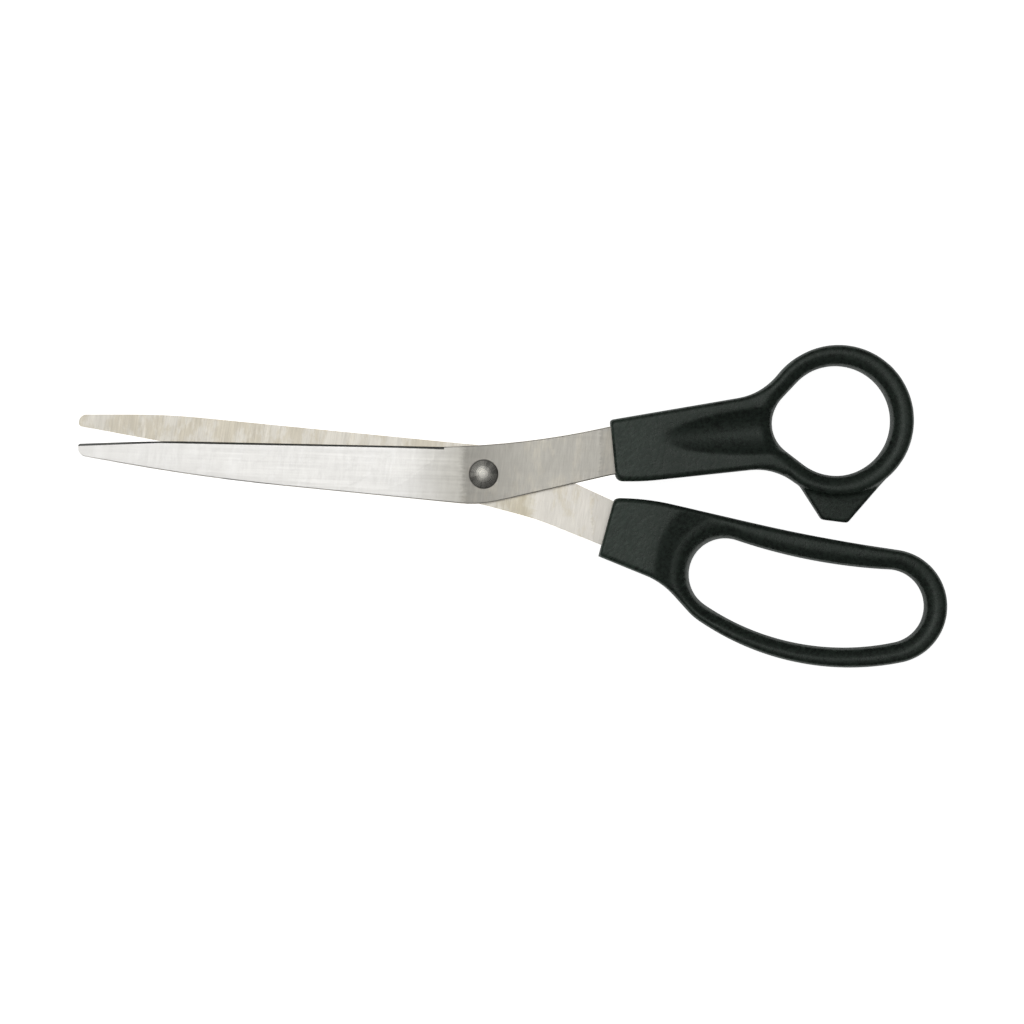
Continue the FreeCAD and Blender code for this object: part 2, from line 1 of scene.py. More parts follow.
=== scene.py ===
"""Fabric shears: two stamped steel blades on a rivet, each moulded into a dark plastic handle.

The handles and the rivet are modelled here, in millimetres, with the pivot at the origin and the
middle plane at height zero, and are then set down in the frame. The blades and the washer are the
frame's own, with their finishes made here.
"""

import logging
import math
from dataclasses import dataclass, field
from enum import Enum

import bpy
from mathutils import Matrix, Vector
from mathutils.kdtree import KDTree

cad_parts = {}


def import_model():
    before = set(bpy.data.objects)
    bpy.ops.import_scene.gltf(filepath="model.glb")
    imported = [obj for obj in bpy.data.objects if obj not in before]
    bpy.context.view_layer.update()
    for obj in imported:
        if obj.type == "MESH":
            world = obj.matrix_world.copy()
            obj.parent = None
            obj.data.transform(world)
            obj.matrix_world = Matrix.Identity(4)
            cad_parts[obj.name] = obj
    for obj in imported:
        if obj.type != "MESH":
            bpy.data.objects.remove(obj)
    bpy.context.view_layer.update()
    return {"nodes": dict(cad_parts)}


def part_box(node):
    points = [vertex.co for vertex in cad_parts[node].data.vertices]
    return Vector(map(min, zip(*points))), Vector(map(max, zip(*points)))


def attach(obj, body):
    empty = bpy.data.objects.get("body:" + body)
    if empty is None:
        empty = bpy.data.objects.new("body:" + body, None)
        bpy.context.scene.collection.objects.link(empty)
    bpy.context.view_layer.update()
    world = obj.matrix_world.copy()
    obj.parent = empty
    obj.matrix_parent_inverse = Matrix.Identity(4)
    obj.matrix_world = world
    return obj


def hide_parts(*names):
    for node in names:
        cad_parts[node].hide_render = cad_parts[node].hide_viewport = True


LOG = logging.getLogger("fabric_shears")
MILLIMETRE = 0.001
SIDE_STEEPNESS = 1.2    # of the handles' sides, outside the outline

Colour = tuple[float, float, float]
Socket = bpy.types.NodeSocket
ORIGIN = Vector((0.0, 0.0, 0.0))


def starting_at(*values: float) -> Vector:
    """Gives a dataclass field that starts as this vector."""
    return field(default_factory=lambda: Vector(values))


# ---------------------------------------------------------------- outlines


def unit(degrees: float) -> Vector:
    """Gives the direction at an angle in the plane of the shears."""
    return Vector((math.cos(math.radians(degrees)), math.sin(math.radians(degrees))))


def heading(way: Vector) -> float:
    """Gives the angle of a direction, in degrees."""
    return math.degrees(math.atan2(way.y, way.x))


def meet(point_a: Vector, slope_a: float, point_b: Vector, slope_b: float) -> Vector:
    """Finds where two lines cross.

    Args:
        point_a: A point on the first line.
        slope_a: The first line's angle in degrees.
        point_b: A point on the second line.
        slope_b: The second line's angle in degrees.

    Returns:
        The crossing point.
    """
    a, b, apart = unit(slope_a), unit(slope_b), point_b - point_a
    return point_a + a * ((apart.x * b.y - apart.y * b.x) / (a.x * b.y - a.y * b.x))


@dataclass(frozen=True)
class Turn:
    """One turn of an outline that runs anticlockwise.

    wrap is the radius of a disc that the outline goes round, negative where the disc bites into
    the material. blend instead rounds a point that the outline passes.
    """

    at: Vector
    wrap: float = 0.0
    blend: float = 0.0


@dataclass(frozen=True)
class Outline:
    """A closed line of straight runs and arcs that touch, given by its turns."""

    turns: tuple[Turn, ...]

    def slopes(self) -> list[float]:
        """Works out the straight runs.

        Returns:
            The angle of the run that leaves each turn, in degrees.
        """
        slopes = []
        for turn, following in zip(self.turns, self.turns[1:] + self.turns[:1]):
            way = following.at - turn.at
            lean = max(-1.0, min(1.0, (turn.wrap - following.wrap) / way.length))
            slopes.append(heading(way) + math.degrees(math.asin(lean)))
        return slopes

    def points(self, step: float) -> list[Vector]:
        """Walks round the outline.

        Args:
            step: The longest distance between two points that follow each other.

        Returns:
            The points in order, with none repeated.
        """
        slopes = self.slopes()
        corners: list[Vector] = []
        for i, turn in enumerate(self.turns):
            swing = (slopes[i] - slopes[i - 1] + 180) % 360 - 180
            centre, radius = turn.at, turn.wrap
            if turn.wrap:
                swing = swing % 360 if turn.wrap > 0 else -((-swing) % 360)
            elif turn.blend:
                radius = math.copysign(turn.blend, swing)
                trim = turn.blend * math.tan(math.radians(abs(swing) / 2))
                centre = turn.at - unit(slopes[i - 1]) * trim + unit(slopes[i - 1] + 90) * radius
            parts = max(1, math.ceil(math.radians(abs(swing)) * abs(radius) / step))
            corners += [centre + unit(slopes[i - 1] + swing * k / parts - 90) * radius
                        for k in range(parts + 1)]
        walked: list[Vector] = []
        for start, end in zip(corners, corners[1:] + corners[:1]):
            parts = max(1, math.ceil((end - start).length / step - 1e-6))
            walked += [start.lerp(end, k / parts) for k in range(parts)]
        return [p for p, before in zip(walked, walked[-1:] + walked[:-1]) if (p - before).length > 1e-4]


def disc_in_neck(line_point: Vector, slope: float, ring: Turn, radius: float, above: bool) -> Vector:
    """Finds the disc that rests on a line and against a ring, before the ring.

    Args:
        line_point: A point on the line.
        slope: The line's angle in degrees.
        ring: The ring that the disc rests against.
        radius: The disc's radius.
        above: Whether the disc lies on the left of the line.

    Returns:
        The disc's centre.
    """
    along = unit(slope)
    away = Vector((-along.y, along.x)) * (1 if above else -1)
    start = line_point + away * radius
    to_ring = ring.at - start
    aside = to_ring.dot(away)
    return start + along * (to_ring.dot(along) - math.sqrt((ring.wrap + radius) ** 2 - aside**2))


def disc_touching(first: Turn, second: Turn, radius: float, enclosing: bool) -> Vector:
    """Finds the disc on the left of two discs that touches both.

    Args:
        first: The disc that the way starts from.
        second: The disc that the way goes to.
        radius: The radius of the disc to find.
        enclosing: Whether it holds both discs inside it.

    Returns:
        Its centre.
    """
    sign = -1 if enclosing else 1
    reach_1, reach_2 = radius + sign * first.wrap, radius + sign * second.wrap
    way = second.at - first.at
    along = (reach_1**2 - reach_2**2 + way.length**2) / (2 * way.length)
    ahead = way.normalized()
    return first.at + ahead * along + Vector((-ahead.y, ahead.x)) * math.sqrt(reach_1**2 - along**2)


def soft_part(value: float, ease: float) -> float:
    """Gives the part of a number above zero, easing in over a short way."""
    return (value + math.sqrt(value**2 + 4 * ease**2)) / 2 if value > -8 * ease else 0.0


# ---------------------------------------------------------------- the bench


class Bench:
    """Steps of the work that every new piece shares."""

    @staticmethod
    def alone(piece: bpy.types.Object) -> None:
        """Selects one piece and nothing else.

        Args:
            piece: The piece.
        """
        bpy.ops.object.select_all(action="DESELECT")
        piece.select_set(True)
        bpy.context.view_layer.objects.active = piece

    @staticmethod
    def slab(name: str, line: list[Vector], bottom: float, top: float) -> bpy.types.Object:
        """Models a flat slab: a disc drawn out to an outline and extruded.

        Args:
            name: The slab's name.
            line: The outline's points.
            bottom: The height of its underside.
            top: The height of its top.

        Returns:
            The slab, closed, with its faces outwards.
        """
        bpy.ops.object.select_all(action="DESELECT")
        middle = sum(line, Vector((0.0, 0.0))) / len(line)
        reach = max((p - middle).length for p in line)
        bpy.ops.mesh.primitive_circle_add(vertices=len(line), radius=reach, fill_type="NGON")
        piece = bpy.context.object
        piece.name = piece.data.name = name
        for vertex, point in zip(piece.data.vertices, line):
            vertex.co = (point.x, point.y, bottom)
        bpy.ops.object.mode_set(mode="EDIT")
        bpy.ops.mesh.select_all(action="SELECT")
        bpy.ops.mesh.extrude_region_move(TRANSFORM_OT_translate={"value": (0, 0, top - bottom)})
        bpy.ops.mesh.select_all(action="SELECT")
        bpy.ops.mesh.normals_make_consistent(inside=False)
        bpy.ops.object.mode_set(mode="OBJECT")
        return piece

    @staticmethod
    def work(piece: bpy.types.Object, kind: str, **settings: object) -> None:
        """Gives a piece a modifier and applies it.

        Args:
            piece: The piece.
            kind: The modifier's type.
            **settings: The modifier's properties.
        """
        Bench.alone(piece)
        step = piece.modifiers.new(kind.lower(), kind)
        for name, value in settings.items():
            setattr(step, name, value)
        bpy.ops.object.modifier_apply(modifier=step.name)

    @staticmethod
    def join_solids(piece: bpy.types.Object, other: bpy.types.Object, operation: str) -> None:
        """Cuts or joins two closed solids, the other one being used up."""
        Bench.work(piece, "BOOLEAN", operation=operation, object=other, solver="EXACT")
        bpy.data.objects.remove(other, do_unlink=True)

    @staticmethod
    def recast(piece: bpy.types.Object, grain: float) -> None:
        """Gives a piece an even skin of small square faces, as large as grain."""
        Bench.work(piece, "REMESH", mode="VOXEL", voxel_size=grain, adaptivity=0.0)

    @staticmethod
    def soften(piece: bpy.types.Object, share: float, passes: int) -> None:
        """Evens out a skin, as the polish on a mould does."""
        Bench.work(piece, "SMOOTH", factor=share, iterations=passes)

    @staticmethod
    def set_down(piece: bpy.types.Object, pivot: Vector, sharp: float = 180.0) -> None:
        """Puts a piece modelled in millimetres at its place in the frame.

        Args:
            piece: The piece, with the pivot at its origin.
            pivot: The pivot's place in the frame, at the middle plane, in metres.
            sharp: Edges that turn by more degrees than this stay crisp.
        """
        Bench.alone(piece)
        piece.scale = (MILLIMETRE,) * 3
        piece.location = pivot
        bpy.ops.object.transform_apply(location=True, rotation=True, scale=True)
        if sharp < 180.0:
            bpy.ops.object.shade_smooth_by_angle(angle=math.radians(sharp))
        else:
            bpy.ops.object.shade_smooth()


# ---------------------------------------------------------------- finishes


@dataclass
class NodeSheet:
    """A material's nodes, laid out in the order that they are asked for."""

    material: bpy.types.Material

    @classmethod
    def named(cls, name: str) -> "NodeSheet":
        """Starts an empty material.

        Args:
            name: The material's name.

        Returns:
            Its empty sheet.
        """
        material = bpy.data.materials.new(name)
        material.use_nodes = True
        material.node_tree.nodes.clear()
        return cls(material)

    def add(self, kind: str, settings: dict[str, object] | None = None, **inputs: object) -> bpy.types.Node:
        """Adds a node.

        Args:
            kind: The node's type, without its ShaderNode prefix.
            settings: Properties of the node itself.
            **inputs: Its inputs by name, with spaces as underscores, or by number as in i0; each
                is a socket to link or a value to set.

        Returns:
            The node.
        """
        node = self.material.node_tree.nodes.new("ShaderNode" + kind)
        for name, value in (settings or {}).items():
            setattr(node, name, value)
        for name, value in inputs.items():
            by_number = name[0] == "i" and name[1:].isdigit()
            socket = node.inputs[int(name[1:])] if by_number else node.inputs[name.replace("_", " ")]
            if isinstance(value, bpy.types.NodeSocket):
                self.material.node_tree.links.new(value, socket)
            else:
                socket.default_value = value
        return node

    def vector(self, operation: str, first: object, second: object) -> Socket:
        """Works out one vector from two."""
        return self.add("VectorMath", {"operation": operation}, i0=first, i1=second).outputs[0]

    def scaled(self, colour: Socket, factor: Socket) -> Socket:
        """Makes a colour lighter or darker."""
        return self.add("VectorMath", {"operation": "SCALE"}, i0=colour, Scale=factor).outputs[0]

    def calc(self, operation: str, first: object, second: object = 0.0) -> Socket:
        """Works out one number from two, or from the first alone."""
        return self.add("Math", {"operation": operation}, i0=first, i1=second).outputs[0]

    def axes(self, output: str) -> list[Socket]:
        """Gives X, Y and Z of the surface's place on the piece ("Object") or its lean ("Normal")."""
        return list(self.add("SeparateXYZ", Vector=self.add("TexCoord").outputs[output]).outputs)

    def place(self, grain: tuple[float, ...], turn: float = 0.0, at: Vector = ORIGIN) -> Socket:
        """Reads where the surface is, on the piece.

        Args:
            grain: The length of the pattern's features along its own three axes, in metres.
            turn: The pattern's turn in the plane of the shears, in degrees.
            at: The point that the pattern is centred on.

        Returns:
            The coordinates, in features.
        """
        moved = self.vector("SUBTRACT", self.add("TexCoord").outputs["Object"], tuple(at))
        turned = self.add("VectorRotate", {"rotation_type": "Z_AXIS"}, Vector=moved,
                          Angle=math.radians(-turn))
        return self.vector("DIVIDE", turned.outputs[0], grain)

    def noise(self, place: Socket, detail: float = 2.0, roughness: float = 0.5) -> Socket:
        """Gives an uneven pattern between 0 and 1, one feature for each unit of the place."""
        return self.add("TexNoise", Vector=place, Scale=1.0, Detail=detail, Roughness=roughness).outputs[0]

    def noise_along(self, way: Socket, scale: float, roughness: float) -> Socket:
        """Gives an uneven pattern between 0 and 1 that changes along one way only."""
        return self.add("TexNoise", {"noise_dimensions": "1D"}, W=way, Scale=scale, Detail=3.0,
                        Roughness=roughness).outputs[0]

    def spread(self, value: Socket, low: float, high: float, to_low: float = 0.0,
               to_high: float = 1.0, soft: bool = False) -> Socket:
        """Maps a number from one range onto another and keeps it there.

        Args:
            value: The number.
            low: The value that becomes to_low.
            high: The value that becomes to_high.
            to_low: The first end of the new range.
            to_high: The second end of the new range.
            soft: Whether the change eases in and out.

        Returns:
            The mapped number.
        """
        kind = {"interpolation_type": "SMOOTHSTEP" if soft else "LINEAR"}
        return self.add("MapRange", kind, i0=value, i1=low, i2=high, i3=to_low, i4=to_high).outputs[0]

    def blend(self, share: Socket, first: Socket | Colour, second: Socket | Colour) -> Socket:
        """Mixes two colours."""
        colours = [(*c, 1.0) if isinstance(c, tuple) else c for c in (first, second)]
        return self.add("Mix", {"data_type": "RGBA"}, i0=share, i6=colours[0], i7=colours[1]).outputs[2]

    def bump(self, height: Socket, depth: float, strength: float, under: Socket | None = None) -> Socket:
        """Turns a height pattern into a bumped normal.

        Args:
            height: The pattern.
            depth: How deep it is, in metres.
            strength: How much of it shows, 0 to 1.
            under: The bumped normal that it lies on, if there is one.

        Returns:
            The normal.
        """
        inputs = {"Height": height, "Distance": depth, "Strength": strength}
        if under is not None:
            inputs["Normal"] = under
        return self.add("Bump", **inputs).outputs[0]

    def finish(self, **inputs: object) -> bpy.types.Material:
        """Ends the material with one shader.

        Args:
            **inputs: The shader's inputs, as add takes them.

        Returns:
            The material.
        """
        shader = self.add("BsdfPrincipled", **inputs)
        self.add("OutputMaterial", Surface=shader.outputs[0])
        return self.material


def toned(colour: Colour, factor: float) -> Colour:
    """Makes a colour lighter or darker."""
    return tuple(c * factor for c in colour)


def dress(piece: bpy.types.Object, material: bpy.types.Material) -> None:
    """Gives every face of a piece one material."""
    piece.data.materials.clear()
    piece.data.materials.append(material)


class Lay(Enum):
    """Which way the fine lines of a steel face run, as a turn from the blade's own length."""

    ALONG = 0.0
    ACROSS = 85.0


@dataclass(frozen=True)
class SteelFace:
    """One kind of steel face: its tone, the tone of its patches, and its fine lines."""

    tone: Colour
    patch: Colour
    patch_share: float            # how much of the face the patches take, 0 to 1
    lay: Lay
    line_width: float             # metres
    line_length: float
    line_contrast: float


@dataclass(frozen=True)
class BladeSteel:
    """Stamped stainless sheet whose ground face gives way to the rolled face by the rivet, with a
    ragged end. Towards that end the ground face is darkened by painted shade, where the blade's bend
    turns it from the light. Its cutting bevel is painted dark, a painted reflection of the dark
    surroundings it faces, and its other edges are painted bright: the steel's own tone with a painted
    highlight along their rounding."""

    name: str
    slope: float                  # the blade's own direction, in degrees
    ground: SteelFace
    rolled: SteelFace
    painted_shade_starts: float            # where the ground face begins to darken with painted shade, along X, in metres
    ground_ends: float            # where it ends
    painted_shade_tone: float              # how dark that painted shade has become there
    cut_side: float               # 1 where the cutting edge faces up the frame, -1 down
    bevel_ends: float             # where the cutting bevel ends, along X
    heel_starts: float            # where the rolled face turns darker, beside the handle
    heel_tone: float = 0.84
    rolled_tone: float = 1.0      # how dark the rolled face is beside the ground one
    painted_shade_tint: Colour = (1.0, 0.985, 0.93)
    ragged: float = 0.0035        # how far the ground face's end wanders
    end_width: float = 0.0013     # half the width of that end
    # painted reflection: the cutting bevel is painted dark, for the dark surroundings it mirrors from above
    bevel: Colour = (0.14, 0.145, 0.135)
    # painted highlight: the rounding of the other edges is painted bright, over the steel's own tone
    edge: Colour = (0.86, 0.80, 0.69)
    sheared: Colour = (0.66, 0.615, 0.53)
    corner_to_flat: tuple[float, float] = (0.42, 0.75)     # how upright the normal is there
    side_to_corner: tuple[float, float] = (0.18, 0.28)
    roughness: float = 0.34
    corner_roughness: float = 0.34                         # how much rougher what isn't flat is

    def face(self, sheet: NodeSheet, face: SteelFace) -> tuple[Socket, Socket]:
        """Makes one face's colour.

        Args:
            sheet: The material's nodes.
            face: The face to make.

        Returns:
            The colour and the pattern of its lines.
        """
        grain = (face.line_length, face.line_width, face.line_length)
        lines = sheet.noise(sheet.place(grain, self.slope + face.lay.value), detail=4.0, roughness=0.7)
        patch_at = sheet.place((0.009, 0.0042, 0.006), self.slope + 90.0)
        patches = sheet.noise(patch_at, detail=5.0, roughness=0.68)
        edge = 0.66 - 0.32 * face.patch_share
        tone = sheet.blend(sheet.spread(patches, edge - 0.055, edge + 0.055), face.tone, face.patch)
        shade = sheet.spread(lines, 0.3, 0.7, 1.0 - face.line_contrast, 1.0 + face.line_contrast)
        return sheet.scaled(tone, shade), lines

    def flats(self, sheet: NodeSheet, along: Socket) -> tuple[Socket, Socket, Socket]:
        """Makes the colour of the flat faces, from the point to the handle, with painted shade on the ground
        face towards its end.

        Args:
            sheet: The material's nodes.
            along: How far along X the surface is.

        Returns:
            The colour, and the patterns of the ground and the rolled face's lines.
        """
        ground, ground_lines = self.face(sheet, self.ground)
        rolled, rolled_lines = self.face(sheet, self.rolled)
        # painted shade: the ground face darkens and warms towards its end, where its bend turns from the
        # light
        into_painted_shade = sheet.spread(along, self.painted_shade_starts, self.ground_ends, soft=True)
        painted_shade = sheet.blend(into_painted_shade, (1.0, 1.0, 1.0), toned(self.painted_shade_tint, self.painted_shade_tone))
        rag_at = sheet.place((0.0022, 0.0007, 0.002), self.slope)
        rag = sheet.calc("SUBTRACT", sheet.noise(rag_at, detail=4.0, roughness=0.7), 0.5)
        wander = sheet.calc("ADD", along, sheet.calc("MULTIPLY", rag, self.ragged))
        heel, end = self.heel_starts, self.ground_ends
        darker_by_handle = sheet.spread(wander, heel, heel + 0.0008, 1.0, self.heel_tone, soft=True)
        beside = sheet.spread(along, end, end + 0.02, self.rolled_tone, 1.0, soft=True)
        rolled = sheet.scaled(rolled, sheet.calc("MULTIPLY", darker_by_handle, beside))
        past = sheet.spread(wander, end - self.end_width, end + self.end_width, soft=True)
        return sheet.blend(past, sheet.vector("MULTIPLY", ground, painted_shade), rolled), ground_lines, rolled_lines

    def corners(self, sheet: NodeSheet, along: Socket, lean: Socket, lines: Socket) -> Socket:
        """Makes the colour of the slanting faces: the cutting bevel, painted dark as a painted reflection,
        and the corners elsewhere, painted bright as a painted highlight over the steel's own tone.

        Args:
            sheet: The material's nodes.
            along: How far along X the surface is.
            lean: The surface normal's Y.
            lines: The pattern of the bevel's lines.

        Returns:
            The colour.
        """
        # painted reflection: the dark colour painted on the cutting bevel
        bevel = sheet.blend(sheet.spread(lines, 0.3, 0.7), toned(self.bevel, 0.7), toned(self.bevel, 1.4))
        on_side = sheet.spread(lean, 0.0, 0.1 * self.cut_side)
        before = sheet.spread(along, self.bevel_ends, self.bevel_ends + 0.0003, 1.0, 0.0)
        # painted highlight: the bright colour painted on the other corners
        return sheet.blend(sheet.calc("MULTIPLY", on_side, before), self.edge, bevel)

    def material(self) -> bpy.types.Material:
        """Makes the material.

        Returns:
            The material.
        """
        sheet = NodeSheet.named(self.name)
        along = sheet.axes("Object")[0]
        lean = sheet.axes("Normal")
        upright = sheet.calc("ABSOLUTE", lean[2])
        flat, ground_lines, rolled_lines = self.flats(sheet, along)
        corner = self.corners(sheet, along, lean[1], ground_lines)
        torn = sheet.noise(sheet.place((0.0012, 0.0012, 0.00015), self.slope))
        shear = sheet.blend(sheet.spread(torn, 0.3, 0.7), toned(self.sheared, 0.7), self.sheared)
        colour = sheet.blend(sheet.spread(upright, *self.corner_to_flat), corner, flat)
        colour = sheet.blend(sheet.spread(upright, *self.side_to_corner), shear, colour)
        lines = sheet.calc("MULTIPLY", sheet.calc("ADD", ground_lines, rolled_lines), 0.5)
        wear = sheet.noise(sheet.place((0.012, 0.0003, 0.012), self.slope + 30.0))
        polish = sheet.spread(lines, 0.35, 0.65, self.roughness + 0.05, self.roughness - 0.04)
        rough = sheet.calc("ADD", polish, sheet.spread(wear, 0.62, 0.75, 0.0, 0.03))
        rough = sheet.calc("ADD", rough, sheet.spread(upright, 0.42, 0.8, self.corner_roughness, 0.0))
        bumped = sheet.bump(lines, 3e-6, 0.5)
        return sheet.finish(Base_Color=colour, Metallic=1.0, Roughness=rough,
                            Normal=sheet.bump(wear, 1e-6, 0.12, bumped))


@dataclass(frozen=True)
class TurnedSteel:
    """Bright steel turned on a lathe: fine rings about its centre, with painted dark wedges between
    them standing in for the turned finish's streaked reflection, a painted dark ring at the rim
    standing in for its shade, and a painted lighter side towards the light."""

    name: str
    centre: Vector
    radius: float
    pitch: float                  # metres from one ring to the next
    colour: Colour
    roughness: float = 0.26

    def worn(self, sheet: NodeSheet, rings: Socket, reach: Socket, arms: list[Socket]) -> Socket:
        """Makes the colour: the rings and the worn patches, with painted dark wedges, a painted dark rim and
        a painted lighter side.

        Args:
            sheet: The material's nodes.
            rings: The pattern of the rings.
            reach: How far from the centre the surface is.
            arms: How far along X and Y.

        Returns:
            The colour.
        """
        cloud = sheet.noise(sheet.place((0.0024, 0.0018, 0.002), 20.0, self.centre), detail=3.0)
        tone = sheet.blend(sheet.spread(rings, 0.32, 0.68), toned(self.colour, 0.62), self.colour)
        tone = sheet.blend(sheet.spread(cloud, 0.4, 0.7, 0.0, 0.45), tone, toned(self.colour, 0.55))
        # painted reflection: dark wedges stand in for the streaked reflection of the turned finish
        wedges = sheet.noise_along(sheet.calc("ARCTAN2", arms[1], arms[0]), scale=1.3, roughness=0.6)
        outward = sheet.spread(reach, self.radius * 0.25, self.radius * 0.6)
        dark = sheet.calc("MULTIPLY", sheet.spread(wedges, 0.5, 0.6), outward)
        tone = sheet.blend(sheet.calc("MULTIPLY", dark, 0.65), tone, toned(self.colour, 0.35))
        # painted shade: a dark ring painted round the rim, where no groove is cut
        groove = sheet.spread(reach, self.radius * 0.88, self.radius * 0.98, 0.0, 0.7, soft=True)
        tone = sheet.blend(groove, tone, toned(self.colour, 0.3))
        # painted light: the side towards the lamps is painted lighter, the far side darker
        lean = sheet.calc("DIVIDE", sheet.calc("SUBTRACT", arms[1], arms[0]), self.radius)
        return sheet.scaled(tone, sheet.spread(lean, -1.1, 1.0, 0.66, 1.28))

    def material(self) -> bpy.types.Material:
        """Makes the material.

        Returns:
            The material.
        """
        sheet = NodeSheet.named(self.name)
        flat = sheet.vector("MULTIPLY", sheet.place((1.0, 1.0, 1.0), 0.0, self.centre), (1.0, 1.0, 0.0))
        reach = sheet.add("VectorMath", {"operation": "LENGTH"}, i0=flat).outputs[1]
        rings = sheet.noise_along(sheet.calc("DIVIDE", reach, self.pitch), scale=1.0, roughness=0.7)
        tone = self.worn(sheet, rings, reach, list(sheet.add("SeparateXYZ", Vector=flat).outputs))
        rough = sheet.spread(rings, 0.42, 0.62, self.roughness + 0.28, self.roughness - 0.05)
        return sheet.finish(Base_Color=tone, Metallic=1.0, Roughness=rough,
                            Normal=sheet.bump(rings, 1.2e-5, 0.7))


@dataclass(frozen=True)
class MouldedPlastic:
    """Dark, slightly green nylon with a fine worn grain, paler where the grips are rubbed."""

    name: str
    colour: Colour
    roughness: float
    rubbed_to: float              # how far from the blades' end the grips are rubbed, along X
    rub_width: float = 0.012      # the way over which the rubbing fades
    grain: float = 0.0009
    fine_grain: float = 0.00022
    tint: tuple[float, float, float, float] = (0.90, 1.0, 0.92, 1.0)    # of its gloss
    wall_roughness: float = 0.42  # how much rougher the steep walls are

    def tone(self, sheet: NodeSheet, skin: Socket, cloud: Socket) -> Socket:
        """Makes the colour.

        Args:
            sheet: The material's nodes.
            skin: The pattern of the grain.
            cloud: The pattern of the broad patches.

        Returns:
            The colour.
        """
        tone = sheet.blend(sheet.spread(skin, 0.36, 0.64), toned(self.colour, 0.35), toned(self.colour, 2.3))
        tone = sheet.blend(sheet.spread(cloud, 0.4, 0.7, 0.0, 0.4), tone, toned(self.colour, 2.0))
        along = sheet.axes("Object")[0]
        front = sheet.spread(along, self.rubbed_to - self.rub_width, self.rubbed_to, 1.0, 0.0, soft=True)
        hatch = sheet.noise(sheet.place((0.0024, 0.00045, 0.002), 40.0), detail=3.0, roughness=0.7)
        rubbed = sheet.calc("MULTIPLY", front, sheet.spread(hatch, 0.40, 0.62))
        return sheet.blend(rubbed, tone, toned(self.colour, 3.6))

    def material(self) -> bpy.types.Material:
        """Makes the material.

        Returns:
            The material.
        """
        sheet = NodeSheet.named(self.name)
        skin = sheet.noise(sheet.place((self.grain,) * 3), detail=4.0, roughness=0.62)
        fine = sheet.noise(sheet.place((self.fine_grain,) * 3))
        cloud = sheet.noise(sheet.place((0.006, 0.005, 0.006)), detail=3.0)
        gloss = sheet.spread(skin, 0.3, 0.7, self.roughness - 0.08, self.roughness + 0.12)
        rough = sheet.calc("ADD", gloss, sheet.spread(cloud, 0.3, 0.7, -0.03, 0.03))
        upright = sheet.calc("ABSOLUTE", sheet.axes("Normal")[2])
        rough = sheet.calc("ADD", rough, sheet.spread(upright, 0.15, 0.65, self.wall_roughness, 0.0))
        bumped = sheet.bump(fine, 9e-6, 0.7, under=sheet.bump(skin, 7e-5, 0.9))
        return sheet.finish(Base_Color=self.tone(sheet, skin, cloud), Roughness=rough, IOR=1.52,
                            Normal=bumped, Specular_Tint=self.tint)


# ---------------------------------------------------------------- handles


